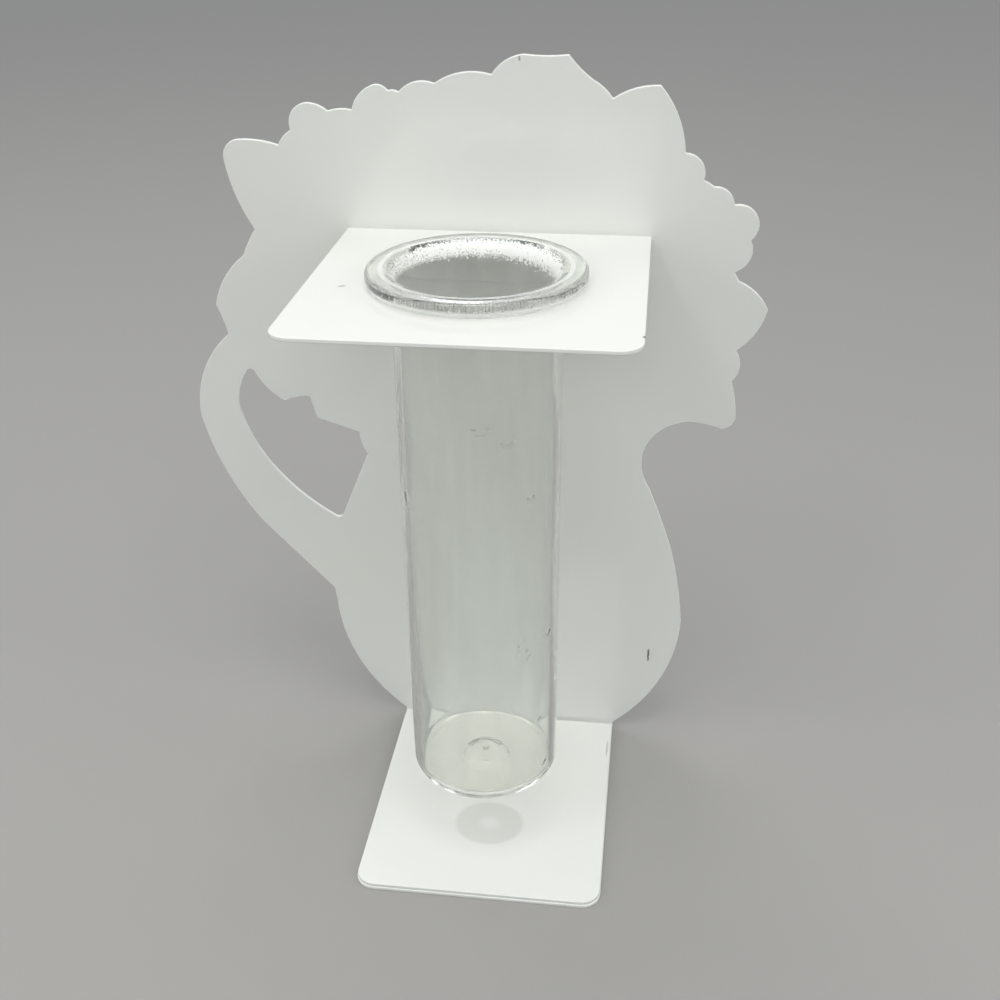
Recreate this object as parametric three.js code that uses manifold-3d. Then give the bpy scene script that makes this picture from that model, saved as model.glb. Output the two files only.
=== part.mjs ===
// Cut-out metal vase: a flat jug of flowers in coated sheet steel, folded at its foot, with a shelf on
// its back that carries a flanged glass tube. Millimetres, +Z up. The origin is the centre of the foot's
// underside. The back of the panel, with the shelf and the foot, faces -Y; its display face faces +Y.

import * as THREE from 'three';
import { mergeVertices } from 'three/addons/utils/BufferGeometryUtils.js';
import Module from 'manifold-3d';

// Sheet steel
const SHEET = 1.0;
const FOLD_RADIUS = 0.6;                            // inside radius of each fold
const LEAN = THREE.MathUtils.degToRad(4.7);         // the panel leans over its own foot

// Foot: the panel's folded tongue, with a plate welded on top of it
const FOOT_WIDTH = 66.4;
const FOOT_DEPTH = 75;                              // tongue's front edge to the panel, at the plate's top
const FOOT_FRONT_RADIUS = 5;
const FOOT_PLATE_INSET = 0.2;                       // the plate's edge stands back from the tongue's edge
const FOOT_PLATE_BACK_RADIUS = 2;
const FOOT_PLATE_GROOVE = 0.9;                      // open line between the plate and the panel

// Shelf: a square plate with a round hole and a flange turned down against the panel
const SHELF_TOP = 164.3;
const SHELF_WIDTH = 75;
const SHELF_DEPTH = 74.7;
const SHELF_FRONT_RADIUS = 5;
const SHELF_FLANGE_DROP = 13;
const SHELF_FLANGE_RADIUS = 3;
const SHELF_WELD_GAP = 0.3;                         // flange to panel, closed by the spot welds

// Glass tube: it hangs by its rim in the shelf's hole
const TUBE_RADIUS = 19.2;
const TUBE_WALL = 1.7;
const TUBE_LENGTH = 138.8;
const TUBE_CLEARANCE = 1.2;                         // radial play in the shelf's hole
const TUBE_SEAT_GAP = 0.2;                          // rim to shelf
const RIM_WIDTH = 5.4;                              // how far the rim stands out from the tube
const RIM_THICKNESS = 3.2;
const RIM_TOP_RADIUS = 1.1;                         // rounding of the rim's upper edge
const RIM_UNDER_RADIUS = 1.2;                       // rounding of the rim's lower edge
const RIM_FILLET = 0.9;                             // between the tube and the rim's underside
const MOUTH_RADIUS = 3.4;                           // rounding from the bore to the rim's top
const BASE_THICKNESS = 1.9;
const BASE_OUTER_RADIUS = 4;
const BASE_INNER_RADIUS = 2.3;
const PUNT_RADIUS = 6.2;                            // dome pushed up in the middle of the base
const PUNT_HEIGHT = 1.9;
const PUNT_RISE = 0.45;                             // how far the dome's side bulges
const PIP_RADIUS = 1.3;                             // small pip on top of the dome
const PIP_HEIGHT = 0.5;

// Facets
const CHORD_ERROR = 0.03;                           // how far a facet may cut inside its arc
const ROUND_STEPS = 48;                             // facets around the tube and the shelf's hole
const FOLD_FACET = Math.PI / 16;                    // turn of each facet in a fold
const MERGE_DISTANCE = 1e-4;                        // points closer than this are one point

// The jug's outline on the panel's back face, clockwise. Each entry is [x, height above the foot's top,
// rise]: an arc runs to that point from the one before it, and rise is how far the middle of the arc
// stands out to the left of its chord, so a positive one bulges out of the jug.
const JUG_LEFT = [
  [-52, 43, 4.9],
  [-52.5, 47.5, 0],
];
const HANDLE_OUTSIDE = [
  [-71.5, 70.5, 0],
  [-85, 106, 2.2],
  [-73.4, 131.5, 3.1],
];
const BOUQUET_LEFT = [
  [-75.6, 140, -0.2],
  [-66.2, 154, 1.4],
  [-62.2, 161.2, 0.2],
  [-67.7, 179.5, 1.1],
  [-63.5, 184, 1.2],
  [-53.5, 182.8, 0.5],
  [-50, 186.5, 0.4],
  [-45, 193.1, 2.1],
  [-40.4, 191.2, 0.4],
  [-34.5, 191.6, 0.4],
];
const BOUQUET_TOP = [
  [-28.5, 197.6, 1.2],
  [-25.5, 196.2, 0.4],
  [-23, 195.9, 0.3],
  [-14.4, 198, 1.4],
  [-1, 200.2, 1.5],
  [6.5, 204.8, 1],
  [16.9, 204.8, -0.3],
  [22.5, 199.3, -0.3],
  [27.1, 195.2, 0.4],
  [37.9, 198.3, 0.9],
];
const BOUQUET_RIGHT = [
  [44.4, 182.9, 1.4],
  [49.1, 176.5, 2],
  [51.6, 175, 0.1],
  [56.7, 170.7, 1.4],
  [61.4, 161.9, 3.8],
  [58.2, 153.6, 2],
  [59.4, 151.3, 0],
  [67.2, 143.9, 1],
  [60.3, 132.3, 1.3],
  [60, 123.4, 1.6],
  [61.9, 113.5, 0.3],
  [58.5, 109.1, 1.2],
];
const JUG_RIGHT = [
  [51, 110.8, -0.3],
  [38, 98, -3.8],
  [40.5, 89, -0.7],
  [47.3, 70, 0.2],
  [52, 43, 0.6],
];
const JUG_FOOT_RISE = 4.9;                          // the belly's last arc, down to the foot's corner

// The opening inside the handle, clockwise from its top, written the same way
const HANDLE_OPENING = [
  [-69.7, 120.6, 1.1],
  [-67.7, 120.4, 0.7],
  [-60.3, 111.7, -0.9],
  [-53.8, 113.5, 0.4],
  [-52.9, 112.6, 0.3],
  [-51.7, 107.3, 0],
  [-50.5, 106.4, -0.3],
  [-40.7, 103, 0],
  [-40.1, 102.3, 0.2],
  [-38.6, 96.5, -0.4],
  [-38.6, 95.2, 0.3],
  [-47.2, 74.8, 0],
  [-49.6, 74.2, 0.6],
  [-65, 88.8, 1],
  [-73.3, 108.5, 1.3],
];

// Places that several pieces share
const FOOT_TOP = 2 * SHEET;
const FOOT_FRONT = -FOOT_DEPTH / 2;
const PANEL_AT_FOOT = FOOT_DEPTH / 2;               // y of the panel's back face at the foot's top
const CUTTER_DEPTH = 12 * SHEET;                    // cutters reach well past both faces of a sheet

// y of the panel's back face at height z
function panelBack(z) {
  return PANEL_AT_FOOT - (z - FOOT_TOP) * Math.tan(LEAN);
}

const SHELF_BACK = panelBack(SHELF_TOP) - SHELF_WELD_GAP / Math.cos(LEAN);
const SHELF_FRONT = SHELF_BACK - SHELF_DEPTH;
const TUBE_Y = SHELF_FRONT + SHELF_WIDTH / 2;       // the hole is as far from the front as from the sides
const TUBE_BOTTOM = SHELF_TOP + TUBE_SEAT_GAP + RIM_THICKNESS - TUBE_LENGTH;

const wasm = await Module();
wasm.setup();

// A closed three.js geometry as a solid that can be joined and cut
function toSolid(geometry) {
  const bare = geometry.clone();
  bare.deleteAttribute('normal');
  bare.deleteAttribute('uv');
  const merged = mergeVertices(bare, MERGE_DISTANCE);
  const vertProperties = new Float32Array(merged.attributes.position.array);
  const triVerts = new Uint32Array(merged.index.array);
  return new wasm.Manifold(new wasm.Mesh({ numProp: 3, vertProperties, triVerts }));
}

function toGeometry(solid) {
  const mesh = solid.getMesh();
  const geometry = new THREE.BufferGeometry();
  geometry.setAttribute('position', new THREE.BufferAttribute(new Float32Array(mesh.vertProperties), 3));
  geometry.setIndex(new THREE.BufferAttribute(new Uint32Array(mesh.triVerts), 1));
  geometry.computeVertexNormals();
  return geometry;
}

// Points of the arc from one point to the next, without its first point
function arcPoints(from, to, rise) {
  if (rise === 0) {
    return [to];
  }
  const chord = to.clone().sub(from);
  const half = chord.length() / 2;
  const radius = (half * half + rise * rise) / (2 * rise);
  const left = new THREE.Vector2(-chord.y, chord.x).normalize();
  const centre = from.clone().add(to).multiplyScalar(0.5).addScaledVector(left, rise - radius);
  const sweep = -4 * Math.atan(rise / half);
  const facet = 2 * Math.acos(1 - Math.min(1, CHORD_ERROR / Math.abs(radius)));
  const steps = Math.max(2, Math.ceil(Math.abs(sweep) / facet));
  const points = [];
  for (let i = 1; i < steps; i += 1) {
    points.push(from.clone().rotateAround(centre, (sweep * i) / steps));
  }
  points.push(to);
  return points;
}

// A closed outline from rows of [x, y, rise]; the first row's arc is the one that closes it
function followArcs(rows) {
  const corners = rows.map(([x, y]) => new THREE.Vector2(x, y));
  return rows.flatMap(([, , rise], i) => arcPoints(corners.at(i - 1), corners[i], rise));
}

// How far a quarter circle stands out from its chord
function quarterRise(radius) {
  return radius * (1 - Math.SQRT1_2);
}

// A rectangle across x = 0, clockwise, with one radius at its front corners and one at its back corners
function roundedRectangle(width, front, back, frontRadius, backRadius) {
  const half = width / 2;
  return new THREE.Shape(followArcs([
    [-half, front + frontRadius, quarterRise(frontRadius)],
    [-half, back - backRadius, 0],
    [-half + backRadius, back, quarterRise(backRadius)],
    [half - backRadius, back, 0],
    [half, back - backRadius, quarterRise(backRadius)],
    [half, front + frontRadius, 0],
    [half - frontRadius, front, quarterRise(frontRadius)],
    [-half + frontRadius, front, 0],
  ]));
}

// A flat outline made thick along Z, from one height to another
function plate(shape, bottom, top) {
  const geometry = new THREE.ExtrudeGeometry(shape, { depth: top - bottom, bevelEnabled: false });
  return geometry.translate(0, 0, bottom);
}

// A cutter whose outline lies on the panel's back face: x across, y up the panel from the foot's top
function panelCutter(shape) {
  const geometry = plate(shape, -CUTTER_DEPTH / 2, CUTTER_DEPTH / 2);
  geometry.rotateX(Math.PI / 2 + LEAN);
  return toSolid(geometry.translate(0, PANEL_AT_FOOT, FOOT_TOP));
}

// A sheet of constant thickness, folded once, as wide as it needs to be. fold is the centre of the fold,
// and the angles, in the YZ plane, say which way the first and the second leaf's outer face points.
function foldedSheet(fold, firstAngle, firstLength, secondAngle, secondLength, width) {
  const turn = secondAngle > firstAngle ? 1 : -1;
  const leafEnd = (angle, radius, along) => {
    const out = new THREE.Vector2(Math.cos(angle), Math.sin(angle));
    const run = new THREE.Vector2(-Math.sin(angle), Math.cos(angle));
    return fold.clone().addScaledVector(out, radius).addScaledVector(run, along);
  };
  const inner = FOLD_RADIUS;
  const outer = FOLD_RADIUS + SHEET;
  const steps = Math.ceil(Math.abs(secondAngle - firstAngle) / FOLD_FACET);
  const points = [leafEnd(firstAngle, outer, -turn * firstLength)];
  for (let i = 0; i <= steps; i += 1) {
    points.push(leafEnd(THREE.MathUtils.lerp(firstAngle, secondAngle, i / steps), outer, 0));
  }
  points.push(leafEnd(secondAngle, outer, turn * secondLength));
  points.push(leafEnd(secondAngle, inner, turn * secondLength));
  for (let i = steps; i >= 0; i -= 1) {
    points.push(leafEnd(THREE.MathUtils.lerp(firstAngle, secondAngle, i / steps), inner, 0));
  }
  points.push(leafEnd(firstAngle, inner, -turn * firstLength));
  const geometry = plate(new THREE.Shape(points), -width / 2, width / 2);
  const toYZ = new THREE.Matrix4().set(0, 0, 1, 0, 1, 0, 0, 0, 0, 1, 0, 0, 0, 0, 0, 1);
  return toSolid(geometry.applyMatrix4(toYZ));
}

// The jug-and-bouquet panel, with its bottom folded forward as the lower layer of the foot
function panelGeometry() {
  const corner = FOOT_WIDTH / 2;
  const outline = followArcs([
    [-corner, 0, 0],
    ...JUG_LEFT,
    ...HANDLE_OUTSIDE,
    ...BOUQUET_LEFT,
    ...BOUQUET_TOP,
    ...BOUQUET_RIGHT,
    ...JUG_RIGHT,
    [corner, 0, JUG_FOOT_RISE],
    [corner, -FOOT_TOP, 0],
    [-corner, -FOOT_TOP, 0],
  ]);
  const jug = new THREE.Shape(outline);
  jug.holes.push(new THREE.Path(followArcs(HANDLE_OPENING).reverse()));
  const tongue = roundedRectangle(
    FOOT_WIDTH,
    FOOT_FRONT,
    PANEL_AT_FOOT + CUTTER_DEPTH,
    FOOT_FRONT_RADIUS,
    FOOT_FRONT_RADIUS,
  );

  const foldZ = SHEET + FOLD_RADIUS;
  const fold = new THREE.Vector2(panelBack(foldZ) - FOLD_RADIUS / Math.cos(LEAN), foldZ);
  const reach = Math.max(...outline.map((point) => point.length()));
  const sheet = foldedSheet(fold, -Math.PI / 2, 2 * FOOT_DEPTH, LEAN, reach, 2 * reach);
  const cutter = panelCutter(jug).add(toSolid(plate(tongue, -SHEET, FOOT_TOP)));
  return toGeometry(sheet.intersect(cutter));
}

// The plate on the foot
function footPlateGeometry() {
  return plate(roundedRectangle(
    FOOT_WIDTH - 2 * FOOT_PLATE_INSET,
    FOOT_FRONT + FOOT_PLATE_INSET,
    panelBack(FOOT_TOP) - FOOT_PLATE_GROOVE,
    FOOT_FRONT_RADIUS,
    FOOT_PLATE_BACK_RADIUS,
  ), SHEET, FOOT_TOP);
}

// The shelf, its hole, and the flange that is spot-welded to the panel
function shelfGeometry() {
  const top = roundedRectangle(
    SHELF_WIDTH,
    SHELF_FRONT,
    SHELF_BACK + CUTTER_DEPTH,
    SHELF_FRONT_RADIUS,
    SHELF_FRONT_RADIUS,
  );
  const holeRadius = TUBE_RADIUS + TUBE_CLEARANCE;
  const hole = [];
  for (let i = 0; i < ROUND_STEPS; i += 1) {
    const angle = (2 * Math.PI * i) / ROUND_STEPS;
    hole.push(new THREE.Vector2(holeRadius * Math.cos(angle), TUBE_Y + holeRadius * Math.sin(angle)));
  }
  top.holes.push(new THREE.Path(hole));

  const flangeTop = (SHELF_TOP - FOOT_TOP) / Math.cos(LEAN);
  const flange = roundedRectangle(
    SHELF_WIDTH,
    flangeTop - SHELF_FLANGE_DROP,
    flangeTop + CUTTER_DEPTH,
    SHELF_FLANGE_RADIUS,
    SHELF_FLANGE_RADIUS,
  );

  const foldZ = SHELF_TOP - SHEET - FOLD_RADIUS;
  const foldY = panelBack(foldZ) - (SHELF_WELD_GAP + SHEET + FOLD_RADIUS) / Math.cos(LEAN);
  const fold = new THREE.Vector2(foldY, foldZ);
  const sheet = foldedSheet(
    fold,
    Math.PI / 2,
    2 * SHELF_DEPTH,
    LEAN,
    2 * SHELF_FLANGE_DROP,
    2 * SHELF_WIDTH,
  );
  const cutter = toSolid(plate(top, foldZ, SHELF_TOP + SHEET)).add(panelCutter(flange));
  return toGeometry(sheet.intersect(cutter));
}

// The tube's half section, from the middle of its underside round to the middle of its floor
function tubeSection() {
  const bore = TUBE_RADIUS - TUBE_WALL;
  const rim = TUBE_RADIUS + RIM_WIDTH;
  const rimTop = TUBE_LENGTH;
  const rimUnder = rimTop - RIM_THICKNESS;
  const floor = BASE_THICKNESS;
  const domeTop = floor + PUNT_HEIGHT;
  return followArcs([
    [0, PUNT_HEIGHT, 0],
    [PUNT_RADIUS, 0, PUNT_RISE],
    [TUBE_RADIUS - BASE_OUTER_RADIUS, 0, 0],
    [TUBE_RADIUS, BASE_OUTER_RADIUS, -quarterRise(BASE_OUTER_RADIUS)],
    [TUBE_RADIUS, rimUnder - RIM_FILLET, 0],
    [TUBE_RADIUS + RIM_FILLET, rimUnder, quarterRise(RIM_FILLET)],
    [rim - RIM_UNDER_RADIUS, rimUnder, 0],
    [rim, rimUnder + RIM_UNDER_RADIUS, -quarterRise(RIM_UNDER_RADIUS)],
    [rim, rimTop - RIM_TOP_RADIUS, 0],
    [rim - RIM_TOP_RADIUS, rimTop, -quarterRise(RIM_TOP_RADIUS)],
    [bore + MOUTH_RADIUS, rimTop, 0],
    [bore, rimTop - MOUTH_RADIUS, -quarterRise(MOUTH_RADIUS)],
    [bore, floor + BASE_INNER_RADIUS, 0],
    [bore - BASE_INNER_RADIUS, floor, quarterRise(BASE_INNER_RADIUS)],
    [PUNT_RADIUS, floor, 0],
    [PIP_RADIUS, domeTop, -PUNT_RISE],
    [0, domeTop + PIP_HEIGHT, -PIP_HEIGHT / 4],
  ]);
}

function tubeGeometry() {
  const geometry = new THREE.LatheGeometry(tubeSection(), ROUND_STEPS);
  return geometry.rotateX(Math.PI / 2);
}

function piece(name, geometry, material) {
  const mesh = new THREE.Mesh(geometry, new THREE.MeshStandardMaterial(material));
  mesh.name = name;
  return mesh;
}

const coatedSteel = { color: 0xeeefec, roughness: 0.35, metalness: 0 };
const clearGlass = { color: 0xf2f6f4, roughness: 0.03, metalness: 0, transparent: true, opacity: 0.35 };

const vase = new THREE.Group();
vase.add(piece('panel', panelGeometry(), coatedSteel));
vase.add(piece('foot_plate', footPlateGeometry(), coatedSteel));
vase.add(piece('shelf', shelfGeometry(), coatedSteel));

const tube = piece('glass_tube', tubeGeometry(), clearGlass);
tube.position.set(0, TUBE_Y, TUBE_BOTTOM);
vase.add(tube);

export default vase;
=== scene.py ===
# %% [markdown]
# # A cut-out metal vase
# The object is a flat jug of flowers, laser-cut from sheet steel, folded at its foot and coated white. A shelf
# on its back holds a glass tube for stems, and we look at that back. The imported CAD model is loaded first: it
# fixes every size and place, and this lesson only gives the pieces their finished edges, glass and coating.

# %% Load the frame
import math

import bpy
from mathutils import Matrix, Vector


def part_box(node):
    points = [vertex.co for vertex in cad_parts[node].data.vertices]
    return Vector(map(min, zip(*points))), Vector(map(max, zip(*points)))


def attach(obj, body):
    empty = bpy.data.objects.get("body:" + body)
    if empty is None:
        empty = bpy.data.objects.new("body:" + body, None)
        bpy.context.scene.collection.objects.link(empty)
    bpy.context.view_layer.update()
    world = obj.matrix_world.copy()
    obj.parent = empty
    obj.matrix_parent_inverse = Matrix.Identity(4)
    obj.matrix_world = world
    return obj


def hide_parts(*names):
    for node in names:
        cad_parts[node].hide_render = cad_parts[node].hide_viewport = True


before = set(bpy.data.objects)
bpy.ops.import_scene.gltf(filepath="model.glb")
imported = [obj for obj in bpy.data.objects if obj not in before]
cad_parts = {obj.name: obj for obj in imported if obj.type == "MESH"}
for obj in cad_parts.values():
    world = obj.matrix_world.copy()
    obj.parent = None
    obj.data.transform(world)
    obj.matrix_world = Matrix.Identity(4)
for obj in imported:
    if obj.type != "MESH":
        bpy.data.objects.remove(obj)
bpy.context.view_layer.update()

# %% [markdown]
# ## Small helpers
# Sizes are thought of in millimetres and Blender works in metres, so one function converts. An operator acts on
# everything that is selected, so each step starts by selecting one object alone.

# %% Helpers
def mm(value):
    return value / 1000


def select_only(piece):
    bpy.ops.object.select_all(action="DESELECT")
    piece.select_set(True)
    bpy.context.view_layer.objects.active = piece


def apply_modifier(piece, name, kind, **settings):
    select_only(piece)
    modifier = piece.modifiers.new(name, kind)
    for key, value in settings.items():
        setattr(modifier, key, value)
    bpy.ops.object.modifier_apply(modifier=name)


print("1 mm is", mm(1), "Blender units")

# %% [markdown]
# ## The coated sheet
# The panel, the shelf and the foot plate are cut sheet steel. Their outlines are already in the CAD solids, so
# each one is copied and not drawn again. A sharp edge would never catch the light, and on the real vase the
# coating runs thin and round over every cut edge as a bright line. So each copy is merged, its flat faces are
# cleaned up, and its edges are bevelled by a fraction of the sheet's thickness.

# %% Sheet pieces
SHEET_EDGE_MM = 0.24
SHEET_EDGE_SEGMENTS = 3
SAME_POINT_MM = 0.001
SAME_PLANE_DEGREES = 0.5
CUT_EDGE_DEGREES = 40
SMOOTH_DEGREES = 30


def coated_sheet(node, name):
    piece = bpy.data.objects.new(name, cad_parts[node].data.copy())
    bpy.context.collection.objects.link(piece)
    select_only(piece)
    bpy.ops.object.mode_set(mode="EDIT")
    bpy.ops.mesh.select_all(action="SELECT")
    bpy.ops.mesh.remove_doubles(threshold=mm(SAME_POINT_MM))
    bpy.ops.mesh.dissolve_limited(angle_limit=math.radians(SAME_PLANE_DEGREES))
    bpy.ops.object.mode_set(mode="OBJECT")
    apply_modifier(piece, "rounded edge", "BEVEL", width=mm(SHEET_EDGE_MM), segments=SHEET_EDGE_SEGMENTS,
                   limit_method="ANGLE", angle_limit=math.radians(CUT_EDGE_DEGREES), use_clamp_overlap=False)
    bpy.ops.object.shade_smooth_by_angle(angle=math.radians(SMOOTH_DEGREES))
    apply_modifier(piece, "flat faces", "WEIGHTED_NORMAL", keep_sharp=True)
    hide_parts(node)
    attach(piece, "stand")
    print(name, len(piece.data.polygons), "faces")
    return piece


panel = coated_sheet("panel", "coated_panel")
foot_plate = coated_sheet("foot_plate", "coated_foot_plate")
shelf = coated_sheet("shelf", "coated_shelf")

# %% [markdown]
# ## The glass tube
# The tube is a body of revolution, drawn as glass is: a half section that is spun about the axis. The section
# runs from the middle of the underside, round the outside and the rim, and down the bore to the middle of the
# floor, so the spun skin is closed and light bends through a real wall. Its overall size and place come from the
# CAD solid. The middle of the base is pushed up as a low dome, called a punt, with a small pip on top.

# %% Tube sizes
TUBE_RADIUS_MM = 19.2
TUBE_WALL_MM = 1.7
RIM_THICKNESS_MM = 3.2
RIB_REACH_MM = 1.6
BASE_THICKNESS_MM = 1.9
PUNT_RADIUS_MM = 6.2
PUNT_HEIGHT_MM = 1.9
PIP_RADIUS_MM = 1.3
PIP_TOP_RADIUS_MM = 0.65
PIP_HEIGHT_MM = 0.5
# The punt's shoulder, as shares of its radius under and over the glass, and of its height
SHOULDER_UNDER = 0.72
SHOULDER_OVER = 0.8
SHOULDER_RISE = 0.72

tube_low, tube_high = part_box("glass_tube")
tube_axis = (tube_low + tube_high) / 2
RIM_RADIUS_MM = 1000 * (tube_high.x - tube_low.x) / 2
TUBE_LENGTH_MM = 1000 * (tube_high.z - tube_low.z)
BORE_MM = TUBE_RADIUS_MM - TUBE_WALL_MM
RIM_UNDER_MM = TUBE_LENGTH_MM - RIM_THICKNESS_MM
PUNT_TOP_MM = BASE_THICKNESS_MM + PUNT_HEIGHT_MM
PIP_TOP_MM = PUNT_TOP_MM + PIP_HEIGHT_MM
print("tube in mm: length", round(TUBE_LENGTH_MM, 2), "rim radius", round(RIM_RADIUS_MM, 2))

# %% [markdown]
# A plane is merged to one point, and that point is extruded from corner to corner of the section. Then each
# corner is rounded with a vertex bevel of its own radius, as the flame rounds hot glass. A list of the corners
# keeps the whole profile in one place, where it can be read from the underside to the bore's floor.

# %% Draw the section
BASE_OUTER_ROUND_MM = 4.0
RIM_FILLET_MM = 0.9
RIM_UNDER_ROUND_MM = 1.2
RIM_TOP_ROUND_MM = 1.1
MOUTH_ROUND_MM = 3.4
BASE_INNER_ROUND_MM = 2.3
PUNT_EDGE_ROUND_MM = 0.5
SHOULDER_ROUND_MM = 1.2
PIP_ROUND_MM = 0.3
ROUND_SEGMENTS = 10

# Each corner is (distance from the axis, height above the underside, rounding)
section = [
    (0, PUNT_HEIGHT_MM, 0),
    (SHOULDER_UNDER * PUNT_RADIUS_MM, SHOULDER_RISE * PUNT_HEIGHT_MM, SHOULDER_ROUND_MM),
    (PUNT_RADIUS_MM, 0, PUNT_EDGE_ROUND_MM),
    (TUBE_RADIUS_MM, 0, BASE_OUTER_ROUND_MM),
    (TUBE_RADIUS_MM, RIM_UNDER_MM, RIM_FILLET_MM),
    (RIM_RADIUS_MM, RIM_UNDER_MM, RIM_UNDER_ROUND_MM),
    (RIM_RADIUS_MM, TUBE_LENGTH_MM - RIB_REACH_MM, 0),
    (RIM_RADIUS_MM, TUBE_LENGTH_MM, RIM_TOP_ROUND_MM),
    (BORE_MM, TUBE_LENGTH_MM, MOUTH_ROUND_MM),
    (BORE_MM, BASE_THICKNESS_MM, BASE_INNER_ROUND_MM),
    (PUNT_RADIUS_MM, BASE_THICKNESS_MM, PUNT_EDGE_ROUND_MM),
    (SHOULDER_OVER * PUNT_RADIUS_MM, BASE_THICKNESS_MM + SHOULDER_RISE * PUNT_HEIGHT_MM, SHOULDER_ROUND_MM),
    (PIP_RADIUS_MM, PUNT_TOP_MM, PIP_ROUND_MM),
    (PIP_TOP_RADIUS_MM, PIP_TOP_MM, PIP_ROUND_MM),
    (0, PIP_TOP_MM, 0),
]


def on_section(radius_mm, height_mm):
    return Vector((tube_axis.x + mm(radius_mm), tube_axis.y, tube_low.z + mm(height_mm)))


def select_near(piece, place):
    bpy.ops.mesh.select_all(action="DESELECT")
    bpy.ops.object.mode_set(mode="OBJECT")
    nearest = min(piece.data.vertices, key=lambda v: (v.co - place).length)
    nearest.select = True
    bpy.ops.object.mode_set(mode="EDIT")


bpy.ops.object.select_all(action="DESELECT")
bpy.ops.mesh.primitive_plane_add(size=mm(1), location=on_section(*section[0][:2]))
tube = bpy.context.active_object
tube.name = "clear_glass_tube"
bpy.ops.object.transform_apply(location=True, rotation=True, scale=True)
bpy.ops.object.mode_set(mode="EDIT")
bpy.ops.mesh.select_mode(type="VERT")
bpy.ops.mesh.select_all(action="SELECT")
bpy.ops.mesh.merge(type="CENTER")
for before, after in zip(section, section[1:]):
    step = on_section(*after[:2]) - on_section(*before[:2])
    bpy.ops.mesh.extrude_vertices_move(TRANSFORM_OT_translate={"value": step})
for radius_mm, height_mm, rounding_mm in section:
    if rounding_mm:
        select_near(tube, on_section(radius_mm, height_mm))
        bpy.ops.mesh.bevel(offset=mm(rounding_mm), segments=ROUND_SEGMENTS, affect="VERTICES")
bpy.ops.object.mode_set(mode="OBJECT")
print("section points:", len(tube.data.vertices))

# %% [markdown]
# The spin makes a full turn, so its first and last copies meet, and the points on the axis pile up. Merging
# closes both, and the normals are then turned outwards once, while the skin is a single closed surface. The rim
# is to get fine ribs, so the spin has two steps to a rib.

# %% Spin the section
RIB_COUNT = 190
SPIN_STEPS = 2 * RIB_COUNT
SPIN_MERGE_MM = 0.002

bpy.ops.object.mode_set(mode="EDIT")
bpy.ops.mesh.select_all(action="SELECT")
bpy.ops.mesh.spin(steps=SPIN_STEPS, angle=2 * math.pi, center=tube_axis, axis=(0, 0, 1))
bpy.ops.mesh.select_all(action="SELECT")
bpy.ops.mesh.remove_doubles(threshold=mm(SPIN_MERGE_MM))
bpy.ops.mesh.normals_make_consistent(inside=False)
bpy.ops.object.mode_set(mode="OBJECT")
print("spun points:", len(tube.data.vertices))

# %% [markdown]
# The tool that pressed the hot rim left a row of fine upright ribs round the top of its edge. They show as short
# dark strokes, because each rib bends the light its own way. Every other column of points on that edge is drawn
# in a little towards the axis, which makes grooves and ribs by turns.

# %% Rim ribs
RIB_DEPTH_MM = 0.08
RIB_BAND_MM = 0.5
RIB_END_MM = 0.1


def select_points(piece, wanted):
    bpy.ops.mesh.select_all(action="DESELECT")
    bpy.ops.object.mode_set(mode="OBJECT")
    for point in piece.data.vertices:
        point.select = wanted(point.co)
    bpy.ops.object.mode_set(mode="EDIT")


def in_rib_groove(place):
    arm = place - tube_axis
    column = round(math.atan2(arm.y, arm.x) * SPIN_STEPS / (2 * math.pi))
    at_edge = math.hypot(arm.x, arm.y) > mm(RIM_RADIUS_MM - RIB_BAND_MM)
    return at_edge and column % 2 == 0 and place.z > tube_high.z - mm(RIB_REACH_MM - RIB_END_MM)


bpy.ops.object.mode_set(mode="EDIT")
select_points(tube, in_rib_groove)
draw_in = 1 - RIB_DEPTH_MM / RIM_RADIUS_MM
bpy.ops.transform.resize(value=(draw_in, draw_in, 1), center_override=tube_axis)
bpy.ops.object.mode_set(mode="OBJECT")
select_only(tube)
bpy.ops.object.shade_smooth()
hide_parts("glass_tube")
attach(tube, "tube")
print("tube faces:", len(tube.data.polygons))

# %% [markdown]
# ## Materials
# Colours are written as the sRGB hex values that one would pick from a picture, and one function turns them
# into the linear values that the shaders use. One more function adds a node with its settings and its links.

# %% Colour and node helpers
def linear(hex_colour):
    channels = [int(hex_colour[i:i + 2], 16) / 255 for i in (1, 3, 5)]
    return [c / 12.92 if c <= 0.04045 else ((c + 0.055) / 1.055) ** 2.4 for c in channels] + [1]


def add_node(tree, kind, inputs, **settings):
    made = tree.nodes.new(kind)
    for key, value in settings.items():
        setattr(made, key, value)
    for key, value in inputs.items():
        if isinstance(value, bpy.types.NodeSocket):
            tree.links.new(value, made.inputs[key])
        else:
            made.inputs[key].default_value = value
    return made


def new_material(name):
    material = bpy.data.materials.new(name)
    material.use_nodes = True
    material.node_tree.nodes.clear()
    return material, material.node_tree


def per_mm(size_mm):
    return 1000 / size_mm


print("a middle grey in linear light:", round(linear("#808080")[0], 3))

# %% [markdown]
# ### White powder coat
# Polyester powder is sprayed on the steel and baked until it flows. It leaves a smooth semi-gloss white skin
# with a fine ripple, called orange peel, that softens reflections. The white drifts a little between warm and
# cool, and a few nibs of dust are baked in. The drift and the ripple are noise, and the nibs sit in the middles of
# Voronoi cells. Each pattern is scaled from its size in millimetres.

# %% White powder coat
WARM_WHITE = "#e4e5e0"
COOL_WHITE = "#e1e4e2"
TINT_DRIFT_MM = 60
ORANGE_PEEL_MM = 1.3
PEEL_DEPTH_MM = 0.04
PEEL_STRENGTH = 0.25
NIB_SPACING_MM = 5
NIB_SIZE_MM = 0.22

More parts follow.
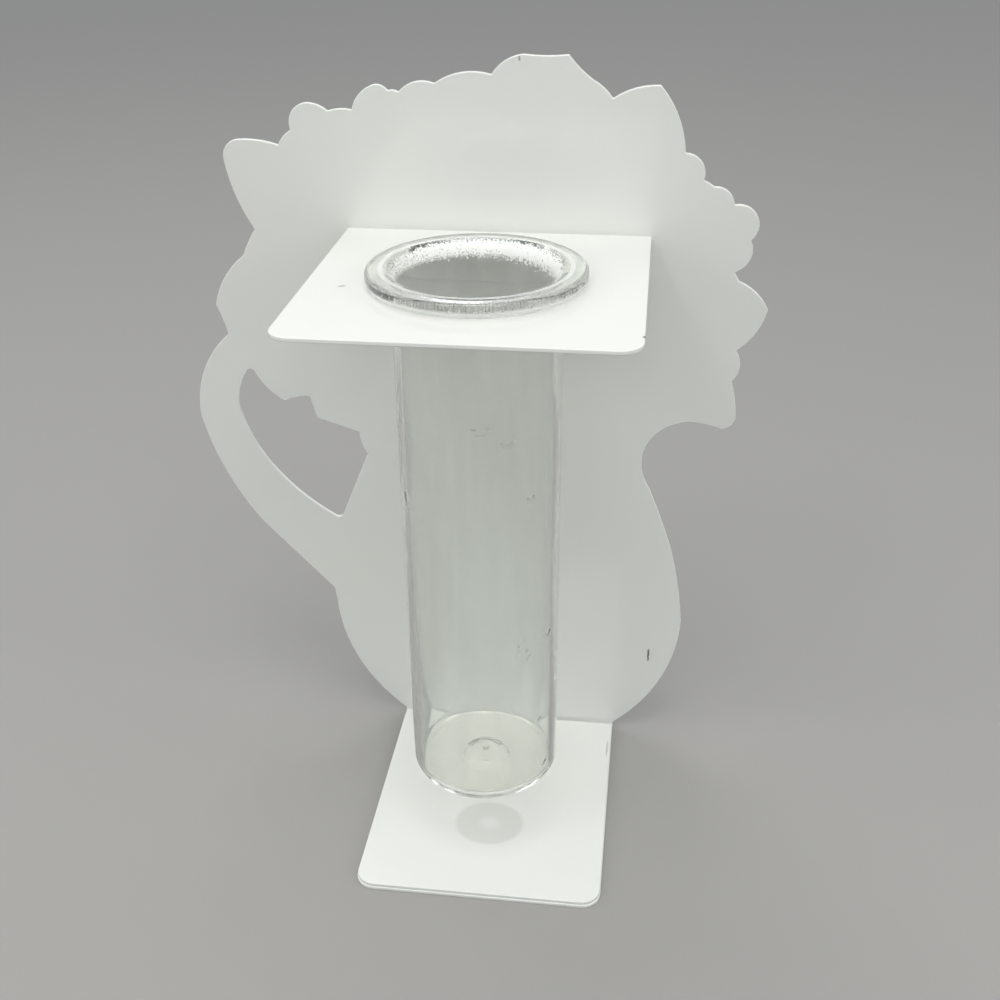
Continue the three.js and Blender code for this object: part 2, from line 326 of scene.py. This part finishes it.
coat, tree = new_material("white polyester powder coat")
place = add_node(tree, "ShaderNodeTexCoord", {}).outputs["Object"]
drift = add_node(tree, "ShaderNodeTexNoise", {"Vector": place, "Scale": per_mm(TINT_DRIFT_MM), "Detail": 2.0})
white = add_node(tree, "ShaderNodeMix", {"Factor": drift.outputs["Fac"], "A": linear(WARM_WHITE),
                                         "B": linear(COOL_WHITE)}, data_type="RGBA")
peel = add_node(tree, "ShaderNodeTexNoise", {"Vector": place, "Scale": per_mm(ORANGE_PEEL_MM), "Detail": 1.0})
dust = add_node(tree, "ShaderNodeTexVoronoi", {"Vector": place, "Scale": per_mm(NIB_SPACING_MM)})
nibs = add_node(tree, "ShaderNodeMapRange", {"Value": dust.outputs["Distance"], "From Min": 0.0,
                                             "From Max": NIB_SIZE_MM / NIB_SPACING_MM, "To Min": 1.0,
                                             "To Max": 0.0}, interpolation_type="SMOOTHSTEP")
surface = add_node(tree, "ShaderNodeMath", {0: peel.outputs["Fac"], 1: nibs.outputs["Result"]}, operation="ADD")
ripple = add_node(tree, "ShaderNodeBump", {"Height": surface.outputs[0], "Strength": PEEL_STRENGTH,
                                           "Distance": mm(PEEL_DEPTH_MM)})
print("coat patterns in mm:", ORANGE_PEEL_MM, NIB_SPACING_MM, TINT_DRIFT_MM)

# %% [markdown]
# A painted shadow of the tube lies on the foot, right under its base: a faint grey round mark, with a paler spot
# in its middle, as painted light where the domed base lets light through. Like every small mark in this lesson, it
# is an ellipsoid in space: a Mapping node turns it into a unit ball, so the distance from its middle, its reach,
# is 1 at the mark's edge. The reach is mapped once for the outer edge and once for the spot.

# %% Painted shadow of the tube
TUBE_SHADOW_PLACE_MM = (0.3, -11.0, 2.0)
TUBE_SHADOW_HALF_MM = (9.8, 8.4, 1.0)
TUBE_SHADOW_STRENGTH = 0.26
TUBE_SHADOW_EDGE = (0.92, 1.04)
SHADOW_MIDDLE_EDGE = (0.1, 0.45)
SHADOW_MIDDLE_STRENGTH = 0.4


def mark_in_space(tree, place, middle_mm, half_sizes_mm, turn_degrees=0):
    ball = add_node(tree, "ShaderNodeMapping", {"Vector": place, "Location": [mm(v) for v in middle_mm],
                                                "Rotation": (0, 0, math.radians(turn_degrees)),
                                                "Scale": [mm(v) for v in half_sizes_mm]},
                    vector_type="TEXTURE").outputs["Vector"]
    reach = add_node(tree, "ShaderNodeVectorMath", {0: ball}, operation="LENGTH").outputs["Value"]
    return ball, reach


# The painted shadow of the tube's base, with a paler painted middle
_, reach = mark_in_space(tree, place, TUBE_SHADOW_PLACE_MM, TUBE_SHADOW_HALF_MM)
outer = add_node(tree, "ShaderNodeMapRange", {"Value": reach, "From Min": TUBE_SHADOW_EDGE[0],
                                              "From Max": TUBE_SHADOW_EDGE[1],
                                              "To Min": TUBE_SHADOW_STRENGTH, "To Max": 0.0})
shadow_middle = add_node(tree, "ShaderNodeMapRange", {"Value": reach, "From Min": SHADOW_MIDDLE_EDGE[0],
                                             "From Max": SHADOW_MIDDLE_EDGE[1], "To Min": SHADOW_MIDDLE_STRENGTH,
                                             "To Max": 1.0}, interpolation_type="SMOOTHSTEP")
painted_tube_shadow = add_node(tree, "ShaderNodeMath", {0: outer.outputs["Result"], 1: shadow_middle.outputs["Result"]},
                      operation="MULTIPLY").outputs[0]
# Prints the size of the painted shadow of the tube
print("water mark in mm:", TUBE_SHADOW_HALF_MM)

# %% [markdown]
# Small knocks have taken the coat off here and there: a scratch low on the panel, a nick in the top petal and on
# the shelf's edge, a fleck on the shelf and a scuff on the foot. Each is an ellipsoid too, and a little noise on
# the place makes its outline ragged. Where two marks meet, the stronger one shows.

# %% Knocks in the coat
# Each mark is (middle, half sizes, turn about Z in degrees, strength), with sizes in mm
COAT_MARKS = [
    ((43.05, 35.15, 30.85), (0.34, 0.85, 2.9), 0, 0.95),
    ((5.6, 21.0, 205.2), (0.34, 1.3, 0.65), 0, 0.55),
    ((37.4, -43.1, 164.2), (0.5, 0.6, 0.5), 0, 0.85),
    ((-28.7, -20.0, 164.3), (1.1, 0.4, 0.3), 25, 0.7),
    ((32.1, 24.8, 2.0), (0.4, 4.2, 0.4), 0, 0.3),
]
COAT_MARK_EDGE = (0.7, 1.0)
RAGGED_MM = 0.7
RAGGED_GRAIN_MM = 0.9
NOISE_MIDDLE = (0.5, 0.5, 0.5)


def strongest(tree, values):
    top = values[0]
    for value in values[1:]:
        top = add_node(tree, "ShaderNodeMath", {0: top, 1: value}, operation="MAXIMUM").outputs[0]
    return top


rough_grain = add_node(tree, "ShaderNodeTexNoise", {"Vector": place, "Scale": per_mm(RAGGED_GRAIN_MM),
                                                    "Detail": 2.0})
jitter = add_node(tree, "ShaderNodeVectorMath", {0: rough_grain.outputs["Color"], 1: NOISE_MIDDLE},
                  operation="SUBTRACT")
ragged = add_node(tree, "ShaderNodeVectorMath", {0: jitter.outputs["Vector"], 1: [mm(RAGGED_MM)] * 3, 2: place},
                  operation="MULTIPLY_ADD").outputs["Vector"]
knocks = []
for middle, half_sizes, turn, strength in COAT_MARKS:
    _, reach = mark_in_space(tree, ragged, middle, half_sizes, turn)
    knock = add_node(tree, "ShaderNodeMapRange", {"Value": reach, "From Min": COAT_MARK_EDGE[0],
                                                  "From Max": COAT_MARK_EDGE[1], "To Min": strength,
                                                  "To Max": 0.0})
    knocks.append(knock.outputs["Result"])
worn = strongest(tree, knocks)
print("coat marks:", len(COAT_MARKS))

# %% [markdown]
# The marks are then laid over the white in turn, the painted tube shadow first and the knocks on top. A baked coat
# has the index of most plastics, about 1.5, and reflects clearly, while bare steel in a knock is rougher.

# %% Finish the coat
TUBE_SHADOW_GREY = "#a6a69f"
BARE_STEEL = "#4d4b48"
COAT_IOR = 1.5
COAT_ROUGHNESS = 0.1
WORN_ROUGHNESS = 0.6

# The painted tube shadow greys the white, and then bare steel shows in the knocks
shadowed_white = add_node(tree, "ShaderNodeMix", {"Factor": painted_tube_shadow, "A": white.outputs["Result"],
                                           "B": linear(TUBE_SHADOW_GREY)}, data_type="RGBA")
colour = add_node(tree, "ShaderNodeMix", {"Factor": worn, "A": shadowed_white.outputs["Result"],
                                          "B": linear(BARE_STEEL)}, data_type="RGBA")
gloss = add_node(tree, "ShaderNodeMapRange", {"Value": worn, "To Min": COAT_ROUGHNESS,
                                              "To Max": WORN_ROUGHNESS})
skin = add_node(tree, "ShaderNodeBsdfPrincipled", {"Base Color": colour.outputs["Result"],
                                                   "Roughness": gloss.outputs["Result"],
                                                   "Normal": ripple.outputs["Normal"], "IOR": COAT_IOR})
add_node(tree, "ShaderNodeOutputMaterial", {"Surface": skin.outputs["BSDF"]})
for piece in (panel, foot_plate, shelf):
    piece.data.materials.clear()
    piece.data.materials.append(coat)
print("coat nodes:", len(tree.nodes))

# %% [markdown]
# ### Clear glass
# The tube is clear soda-lime glass, drawn and flame-worked. It bends light by its index of about 1.5, and the
# wall is very slightly wavy. A few drops have dried on the inside of the wall. Each is a low dome in the bump,
# which bends what is seen through it, and has a painted white highlight, a crescent along its lower edge.

# %% Waves and drops
WAVE_MM = 16
WAVE_HEIGHT = 0.05
# Each drop is (middle on the bore, half sizes), in mm
DROPS = [
    ((2.7, -30.6, 136.8), (2.0, 1.2, 1.9)),
    ((8.3, -28.7, 133.2), (2.2, 1.4, 1.8)),
    ((-15.1, -22.2, 113.5), (1.3, 1.6, 2.9)),
    ((12.9, -25.2, 117.7), (1.3, 1.1, 1.6)),
    ((16.2, -19.9, 76.4), (0.9, 1.4, 1.4)),
    ((17.4, -15.4, 67.4), (0.8, 1.2, 1.0)),
    ((17.4, -14.9, 59.4), (0.8, 1.2, 1.0)),
    ((14.4, -23.2, 51.7), (0.9, 1.2, 1.2)),
    ((15.6, -21.2, 36.0), (1.0, 1.2, 1.2)),
]
# A drop's painted highlight crescent lies at this reach from its middle, give or take, and fades out at this
# height on it
CRESCENT_REACH = 0.75
CRESCENT_HALF_WIDTH = 0.25
CRESCENT_FADE = (-0.6, 0.2)

glass, tree = new_material("clear soda-lime glass")
place = add_node(tree, "ShaderNodeTexCoord", {}).outputs["Object"]
waves = add_node(tree, "ShaderNodeTexNoise", {"Vector": place, "Scale": per_mm(WAVE_MM), "Detail": 1.0})
relief = add_node(tree, "ShaderNodeMath", {0: waves.outputs["Fac"], 1: WAVE_HEIGHT},
                  operation="MULTIPLY").outputs[0]
drop_highlights = []
for middle, half_sizes in DROPS:
    ball, reach = mark_in_space(tree, place, middle, half_sizes)
    dome = add_node(tree, "ShaderNodeMapRange", {"Value": reach, "From Min": 0.0, "From Max": 1.0, "To Min": 1.0,
                                                 "To Max": 0.0}, interpolation_type="SMOOTHSTEP")
    relief = add_node(tree, "ShaderNodeMath", {0: relief, 1: dome.outputs["Result"]}, operation="ADD").outputs[0]
    # Painted highlight: a white crescent on the lower side of the drop
    band = add_node(tree, "ShaderNodeMath", {0: reach, 1: CRESCENT_REACH, 2: CRESCENT_HALF_WIDTH},
                    operation="COMPARE")
    side = add_node(tree, "ShaderNodeSeparateXYZ", {"Vector": ball}).outputs["Z"]
    below = add_node(tree, "ShaderNodeMapRange", {"Value": side, "From Min": CRESCENT_FADE[0],
                                                  "From Max": CRESCENT_FADE[1], "To Min": 1.0, "To Max": 0.0})
    drop_highlight = add_node(tree, "ShaderNodeMath", {0: band.outputs[0], 1: below.outputs["Result"]},
                        operation="MULTIPLY")
    drop_highlights.append(drop_highlight.outputs[0])
print("drops:", len(DROPS))

# %% [markdown]
# Low on the right, a splash has dried to a patch of much finer drops. A Voronoi pattern has one middle in each
# cell, so a bead round every middle gives the patch, and an ellipsoid, as for the larger drops, says where it
# ends. All the drops then go into one bump.

# %% Fine drops
SPLASH_PLACE_MM = (11.4, -26.6, 75.0)
SPLASH_HALF_MM = (2.6, 2.6, 4.4)
SPLASH_EDGE = (0.6, 1.0)
FINE_DROP_MM = 0.95
FINE_DROP_EDGE = (0.15, 0.4)
FINE_DROP_HEIGHT = 0.4
FINE_DROP_WHITE = 0.45
DROP_DEPTH_MM = 0.12

_, reach = mark_in_space(tree, place, SPLASH_PLACE_MM, SPLASH_HALF_MM)
splash = add_node(tree, "ShaderNodeMapRange", {"Value": reach, "From Min": SPLASH_EDGE[0],
                                               "From Max": SPLASH_EDGE[1], "To Min": 1.0, "To Max": 0.0})
cells = add_node(tree, "ShaderNodeTexVoronoi", {"Vector": place, "Scale": per_mm(FINE_DROP_MM)})
bead = add_node(tree, "ShaderNodeMapRange", {"Value": cells.outputs["Distance"], "From Min": FINE_DROP_EDGE[0],
                                             "From Max": FINE_DROP_EDGE[1], "To Min": 1.0, "To Max": 0.0},
                interpolation_type="SMOOTHSTEP")
beads = add_node(tree, "ShaderNodeMath", {0: splash.outputs["Result"], 1: bead.outputs["Result"]},
                 operation="MULTIPLY").outputs[0]
relief = add_node(tree, "ShaderNodeMath", {0: beads, 1: FINE_DROP_HEIGHT, 2: relief},
                  operation="MULTIPLY_ADD").outputs[0]
pale = add_node(tree, "ShaderNodeMath", {0: beads, 1: FINE_DROP_WHITE}, operation="MULTIPLY").outputs[0]
# The drops' painted highlights, and the paler fine drops
drop_highlights_and_pale_beads = strongest(tree, drop_highlights + [pale])
ripple = add_node(tree, "ShaderNodeBump", {"Height": relief, "Strength": 1.0, "Distance": mm(DROP_DEPTH_MM)})
print("fine drops in mm:", FINE_DROP_MM)

# %% [markdown]
# Inside the mouth, dried water has left a frosted band that breaks up into specks further down. Its mask is fine
# noise plus a fade with depth and with the distance from the tube's axis, so it thins out over the lip as well.
# The fade follows a slightly tilted level and reaches further out at the back of the lip, as if the tube had
# leaned that way while it dried.

# %% Frosted band
FROST_GRAIN_MM = 0.5
FROST_DEPTH_MM = (1.8, 5.9)
FROST_LIP_MM = 2.6
FROST_TILT = (0.06, 0, 1)
FROST_BACK_REACH = 0.06
FROST_BUILD_UP = 0.55
FROST_SPECK_EDGE = (0.78, 0.9)

centred = add_node(tree, "ShaderNodeMapping", {"Vector": place,
                                               "Location": (tube_axis.x, tube_axis.y, tube_high.z)},
                   vector_type="TEXTURE").outputs["Vector"]
flat = add_node(tree, "ShaderNodeVectorMath", {0: centred, 1: (1, 1, 0)}, operation="MULTIPLY").outputs["Vector"]
radius = add_node(tree, "ShaderNodeVectorMath", {0: flat}, operation="LENGTH").outputs["Value"]
parts = add_node(tree, "ShaderNodeSeparateXYZ", {"Vector": centred}).outputs
back = add_node(tree, "ShaderNodeMath", {0: parts["Y"], 1: 0.0}, operation="MAXIMUM").outputs[0]
inward = add_node(tree, "ShaderNodeMath", {0: back, 1: -FROST_BACK_REACH, 2: radius}, operation="MULTIPLY_ADD")
in_bore = add_node(tree, "ShaderNodeMapRange", {"Value": inward.outputs[0], "From Min": mm(BORE_MM),
                                                "From Max": mm(BORE_MM + FROST_LIP_MM), "To Min": 1.0,
                                                "To Max": 0.0}).outputs["Result"]
level = add_node(tree, "ShaderNodeVectorMath", {0: centred, 1: FROST_TILT}, operation="DOT_PRODUCT")
fade = add_node(tree, "ShaderNodeMapRange", {"Value": level.outputs["Value"], "From Min": mm(-FROST_DEPTH_MM[1]),
                                             "From Max": mm(-FROST_DEPTH_MM[0]), "To Min": 0.0,
                                             "To Max": FROST_BUILD_UP})
grain = add_node(tree, "ShaderNodeTexNoise", {"Vector": place, "Scale": per_mm(FROST_GRAIN_MM), "Detail": 1.0})
thick = add_node(tree, "ShaderNodeMath", {0: fade.outputs["Result"], 1: in_bore, 2: grain.outputs["Fac"]},
                 operation="MULTIPLY_ADD")
frost = add_node(tree, "ShaderNodeMapRange", {"Value": thick.outputs[0], "From Min": FROST_SPECK_EDGE[0],
                                              "From Max": FROST_SPECK_EDGE[1]}).outputs["Result"]
print("frosted from", FROST_DEPTH_MM, "mm below the rim's top")

# %% [markdown]
# Below that band, water that ran down has left faint upright streaks of haze on the bore. They are too thin to
# see one by one, but light that the wall carries round and round inside the glass meets them many times, and
# without them parts of the rim would look black. The streaks are noise, squeezed across the wall and drawn out in
# height.

# %% Haze in the bore
STREAK_WIDTH_MM = 5
STREAK_LENGTH_MM = 45
STREAK_EDGE = (0.35, 0.7)
HAZE = (0.02, 0.09)
BORE_MARGIN_MM = 0.3

streak_sizes_mm = (STREAK_WIDTH_MM, STREAK_WIDTH_MM, STREAK_LENGTH_MM)
drawn_out = add_node(tree, "ShaderNodeMapping", {"Vector": centred, "Scale": [mm(v) for v in streak_sizes_mm]},
                     vector_type="TEXTURE")
streaks = add_node(tree, "ShaderNodeTexNoise", {"Vector": drawn_out.outputs["Vector"], "Scale": 1.0,
                                                "Detail": 1.0})
thin = add_node(tree, "ShaderNodeMapRange", {"Value": streaks.outputs["Fac"], "From Min": STREAK_EDGE[0],
                                             "From Max": STREAK_EDGE[1], "To Min": HAZE[0], "To Max": HAZE[1]})
on_bore = add_node(tree, "ShaderNodeMath", {0: radius, 1: mm(BORE_MM), 2: mm(BORE_MARGIN_MM)},
                   operation="COMPARE")
haze = add_node(tree, "ShaderNodeMath", {0: thin.outputs["Result"], 1: on_bore.outputs[0]}, operation="MULTIPLY")
print("haze streaks in mm:", STREAK_WIDTH_MM, STREAK_LENGTH_MM)

# %% [markdown]
# The last of the water dries on the floor of the tube and leaves a thin cream-coloured residue. The floor is told
# from the wall by its distance from the axis, and from the underside by its height. Haze and residue together are
# a veil that takes a little of the light that would pass the glass.

# %% Residue on the tube's floor
RESIDUE = 0.08
WALL_MARGIN_MM = 0.4
FLOOR_MARGIN_MM = 0.1

FLOOR_BELOW_RIM_MM = TUBE_LENGTH_MM - BASE_THICKNESS_MM + FLOOR_MARGIN_MM
off_wall = add_node(tree, "ShaderNodeMath", {0: radius, 1: mm(BORE_MM - WALL_MARGIN_MM)}, operation="LESS_THAN")
above_base = add_node(tree, "ShaderNodeMath", {0: parts["Z"], 1: mm(-FLOOR_BELOW_RIM_MM)},
                      operation="GREATER_THAN")
on_floor = add_node(tree, "ShaderNodeMath", {0: off_wall.outputs[0], 1: above_base.outputs[0]},
                    operation="MULTIPLY").outputs[0]
veil = add_node(tree, "ShaderNodeMath", {0: on_floor, 1: RESIDUE, 2: haze.outputs[0]}, operation="MULTIPLY_ADD")
print("residue takes", RESIDUE, "of the light")

# %% [markdown]
# The lower half of the rim's edge is painted white, as painted light that stands in for the light that glows
# through the rim where it meets the shelf, and only the ribbed half above it is clear. Both halves are told apart
# by height, and both lie on the outermost part of the rim. A fainter painted highlight, a white ring, lies on top
# of the rim, just outside the rounded lip. Together with the frost and the drops' painted highlights, they whiten
# the glass as one mask.

# %% Painted light on the rim
RIM_EDGE_MM = 0.8
RIM_GLOW_FADE_MM = 0.6
RIM_GLOW_WHITE = 0.75
LIP_HIGHLIGHT_MM = 21.1
LIP_HIGHLIGHT_HALF_MM = 0.55
LIP_HIGHLIGHT_WHITE = 0.65

on_edge = add_node(tree, "ShaderNodeMath", {0: radius, 1: mm(RIM_RADIUS_MM - RIM_EDGE_MM)},
                   operation="GREATER_THAN").outputs[0]
low_down = add_node(tree, "ShaderNodeMapRange", {"Value": parts["Z"],
                                                 "From Min": mm(-RIB_REACH_MM - RIM_GLOW_FADE_MM),
                                                 "From Max": mm(-RIB_REACH_MM), "To Min": RIM_GLOW_WHITE,
                                                 "To Max": 0.0})
# Painted light: the lower half of the rim's edge is whitened for the glow through the rim
painted_rim_glow = add_node(tree, "ShaderNodeMath", {0: on_edge, 1: low_down.outputs["Result"]}, operation="MULTIPLY")
# Painted highlight: a white ring on top of the rim, outside the lip
at_lip = add_node(tree, "ShaderNodeMath", {0: radius, 1: mm(LIP_HIGHLIGHT_MM), 2: mm(LIP_HIGHLIGHT_HALF_MM)},
                  operation="COMPARE")
on_top = add_node(tree, "ShaderNodeMath", {0: parts["Z"], 1: mm(-LIP_HIGHLIGHT_HALF_MM)}, operation="GREATER_THAN")
lip_highlight = add_node(tree, "ShaderNodeMath", {0: at_lip.outputs[0], 1: on_top.outputs[0]}, operation="MULTIPLY")
painted_highlights_and_pale_beads = add_node(tree, "ShaderNodeMath", {0: lip_highlight.outputs[0], 1: LIP_HIGHLIGHT_WHITE, 2: drop_highlights_and_pale_beads},
                 operation="MULTIPLY_ADD")
# Real frost, plus the painted highlights and the painted glow
frost_and_painted_light = strongest(tree, [frost, painted_highlights_and_pale_beads.outputs[0], painted_rim_glow.outputs[0]])
print("limescale below", RIB_REACH_MM, "mm")

# %% [markdown]
# The grooves between the ribs are painted a little grey, as painted shade that deepens their dark strokes. A
# cosine of the angle about the axis, with as many waves as there are ribs, is highest in each groove. Noise makes
# the strokes uneven.

# %% Painted shade in the grooves
GROOVE_EDGE = (0.3, 0.9)
GROOVE_SHADE_PATCH_MM = 1.6
GROOVE_SHADE_EDGE = (0.35, 0.65)

turn = add_node(tree, "ShaderNodeMath", {0: parts["Y"], 1: parts["X"]}, operation="ARCTAN2").outputs[0]
swing = add_node(tree, "ShaderNodeMath", {0: turn, 1: RIB_COUNT}, operation="MULTIPLY").outputs[0]
wave = add_node(tree, "ShaderNodeMath", {0: swing}, operation="COSINE").outputs[0]
groove = add_node(tree, "ShaderNodeMapRange", {"Value": wave, "From Min": GROOVE_EDGE[0],
                                               "From Max": GROOVE_EDGE[1]})
patchy = add_node(tree, "ShaderNodeTexNoise", {"Vector": place, "Scale": per_mm(GROOVE_SHADE_PATCH_MM), "Detail": 1.0})
uneven = add_node(tree, "ShaderNodeMapRange", {"Value": patchy.outputs["Fac"], "From Min": GROOVE_SHADE_EDGE[0],
                                               "From Max": GROOVE_SHADE_EDGE[1]})
high_up = add_node(tree, "ShaderNodeMath", {0: parts["Z"], 1: mm(-RIB_REACH_MM)}, operation="GREATER_THAN")
on_ribs = add_node(tree, "ShaderNodeMath", {0: on_edge, 1: high_up.outputs[0]}, operation="MULTIPLY")
strokes = add_node(tree, "ShaderNodeMath", {0: groove.outputs["Result"], 1: on_ribs.outputs[0]},
                   operation="MULTIPLY")
# Painted shade in the grooves, made uneven by noise
painted_groove_shade = add_node(tree, "ShaderNodeMath", {0: strokes.outputs[0], 1: uneven.outputs["Result"]},
                 operation="MULTIPLY")
print("grime in", RIB_COUNT, "grooves")

# %% [markdown]
# Now the glass itself. Its tint is nearly white, because light crosses four surfaces on its way through both
# walls and each one tints it again. The frost and the painted highlights and glow make the surface matt and let
# less light through, and the veil takes off a little more.

# %% Finish the glass
GLASS_TINT = "#f8faf8"
RESIDUE_CREAM = "#fefcf5"
GROOVE_SHADE_GREY = "#8e8c84"
GLASS_IOR = 1.5
WHITENED_ROUGHNESS = 0.5
WHITENED_LETS_THROUGH = 0.25

cream = add_node(tree, "ShaderNodeMix", {"Factor": on_floor, "A": linear(GLASS_TINT),
                                         "B": linear(RESIDUE_CREAM)}, data_type="RGBA")
# The painted groove shade greys the glass tint there
tint = add_node(tree, "ShaderNodeMix", {"Factor": painted_groove_shade.outputs[0], "A": cream.outputs["Result"],
                                        "B": linear(GROOVE_SHADE_GREY)}, data_type="RGBA")
# Where the frost and the painted light whiten the glass, it is matt and less clear
matt = add_node(tree, "ShaderNodeMapRange", {"Value": frost_and_painted_light, "To Min": 0.0, "To Max": WHITENED_ROUGHNESS})
through = add_node(tree, "ShaderNodeMapRange", {"Value": frost_and_painted_light, "To Min": 1.0, "To Max": WHITENED_LETS_THROUGH})
clear = add_node(tree, "ShaderNodeMath", {0: through.outputs["Result"], 1: veil.outputs[0]},
                 operation="SUBTRACT")
body = add_node(tree, "ShaderNodeBsdfPrincipled", {"Base Color": tint.outputs["Result"],
                                                   "Roughness": matt.outputs["Result"],
                                                   "Transmission Weight": clear.outputs[0],
                                                   "Normal": ripple.outputs["Normal"], "IOR": GLASS_IOR})
add_node(tree, "ShaderNodeOutputMaterial", {"Surface": body.outputs["BSDF"]})
tube.data.materials.clear()
tube.data.materials.append(glass)
print("glass nodes:", len(tree.nodes))

# %% [markdown]
# ## The studio
# A plain pale paper floor carries the vase. It is one large plane, so that its edge lies far off from any side,
# and its matt grey keeps the white outline readable.

# %% Floor
FLOOR_SIZE_M = 20
PAPER_GREY = "#9a9997"
PAPER_ROUGHNESS = 0.75

bpy.ops.object.select_all(action="DESELECT")
bpy.ops.mesh.primitive_plane_add(size=FLOOR_SIZE_M, location=(0, 0, 0))
floor = bpy.context.active_object
floor.name = "studio_floor"
paper, tree = new_material("matt studio paper")
sheet = add_node(tree, "ShaderNodeBsdfPrincipled", {"Base Color": linear(PAPER_GREY),
                                                    "Roughness": PAPER_ROUGHNESS})
add_node(tree, "ShaderNodeOutputMaterial", {"Surface": sheet.outputs["BSDF"]})
floor.data.materials.append(paper)
print("floor:", floor.dimensions.x, "m wide")

# %% [markdown]
# ## The lamps
# The photograph's light is soft: bright on everything that faces up, even on the panel, and dim under the shelf.
# One large lamp high in front and two smaller ones at its sides light the panel and everything that faces up.
# Two weak lamps far out at the sides lift the handle and the petals, and one behind lights the display face. No
# lamp hangs straight over the tube, as it would throw a bright spot down the bore onto the foot. The powers were
# matched to the coat in the photograph.

# %% Lamps
OBJECT_MIDDLE = (0, 0, 0.1)
LAMP_WHITE = "#fffdf7"
# Each lamp is (name, place in metres, size in metres, power in watts)
LAMPS = [
    ("high front lamp", (0.05, -0.45, 1.1), 0.35, 2.35),
    ("left front lamp", (-0.35, -0.6, 0.9), 0.25, 1.3),
    ("right front lamp", (0.35, -0.6, 0.9), 0.25, 1.0),
    ("left lamp", (-0.8, -0.25, 0.5), 0.35, 1.3),
    ("right lamp", (0.8, -0.25, 0.5), 0.35, 1.3),
    ("back lamp", (-0.25, 0.5, 1.0), 0.5, 1.6),
]

for name, lamp_place, size, power in LAMPS:
    aim = (Vector(OBJECT_MIDDLE) - Vector(lamp_place)).to_track_quat("-Z", "Y")
    bpy.ops.object.light_add(type="AREA", location=lamp_place, rotation=aim.to_euler())
    lamp = bpy.context.active_object
    lamp.name = name
    lamp.data.size = size
    lamp.data.energy = power
    lamp.data.color = linear(LAMP_WHITE)[:3]
print("lamps:", len(LAMPS))

# %% [markdown]
# ## The room's own light
# A soft dome stands for the light that pale walls and a ceiling send back. It fades towards the horizon, as the
# light on the undersides is weak in the photograph, and ends in about the grey of the floor. Glass needs many
# bounces before light finds its way out of a rim, so the limits are raised. Light that has passed the glass is
# kept sharp and not blurred to save time, which would grey the rim, and the view transform shows the colours as
# they are.

# %% World
DOME_WHITE = "#fafcff"
DOME_STRENGTH = 0.76
HORIZON_STRENGTH = 0.3
DOME_RISE = 0.5
GLASS_BOUNCES = 64

world = bpy.data.worlds.new("studio air")
bpy.context.scene.world = world
world.use_nodes = True
tree = world.node_tree
tree.nodes.clear()
way = add_node(tree, "ShaderNodeTexCoord", {}).outputs["Generated"]
height = add_node(tree, "ShaderNodeSeparateXYZ", {"Vector": way}).outputs["Z"]
dome = add_node(tree, "ShaderNodeMapRange", {"Value": height, "From Min": 0.0, "From Max": DOME_RISE,
                                             "To Min": HORIZON_STRENGTH, "To Max": DOME_STRENGTH},
                interpolation_type="SMOOTHSTEP")
air = add_node(tree, "ShaderNodeBackground", {"Color": linear(DOME_WHITE), "Strength": dome.outputs["Result"]})
add_node(tree, "ShaderNodeOutputWorld", {"Surface": air.outputs["Background"]})
bpy.context.scene.view_settings.view_transform = "Standard"
paths = bpy.context.scene.cycles
paths.max_bounces = GLASS_BOUNCES
paths.glossy_bounces = GLASS_BOUNCES
paths.transmission_bounces = GLASS_BOUNCES
paths.blur_glossy = 0
print("bounces:", paths.max_bounces)

# %% [markdown]
# ## The camera
# The photograph was taken from the back of the vase, a little above it and to the right, from about a third of
# a metre away. The place, the turn and the lens were solved from the corners of the shelf and the foot.

# %% Camera
CAMERA_PLACE_MM = (38.14, -268.66, 253.29)
CAMERA_TURN_DEGREES = (60.787, 0.504, 7.196)
SENSOR_MM = 36
LENS_MM = 44.05
NEAREST_SEEN_MM = 10

bpy.ops.object.camera_add(location=[mm(v) for v in CAMERA_PLACE_MM],
                          rotation=[math.radians(a) for a in CAMERA_TURN_DEGREES])
camera = bpy.context.active_object
camera.data.sensor_width = SENSOR_MM
camera.data.lens = LENS_MM
camera.data.clip_start = mm(NEAREST_SEEN_MM)
bpy.context.scene.camera = camera
print("camera is", round((camera.location - tube_axis).length, 3), "m from the tube")
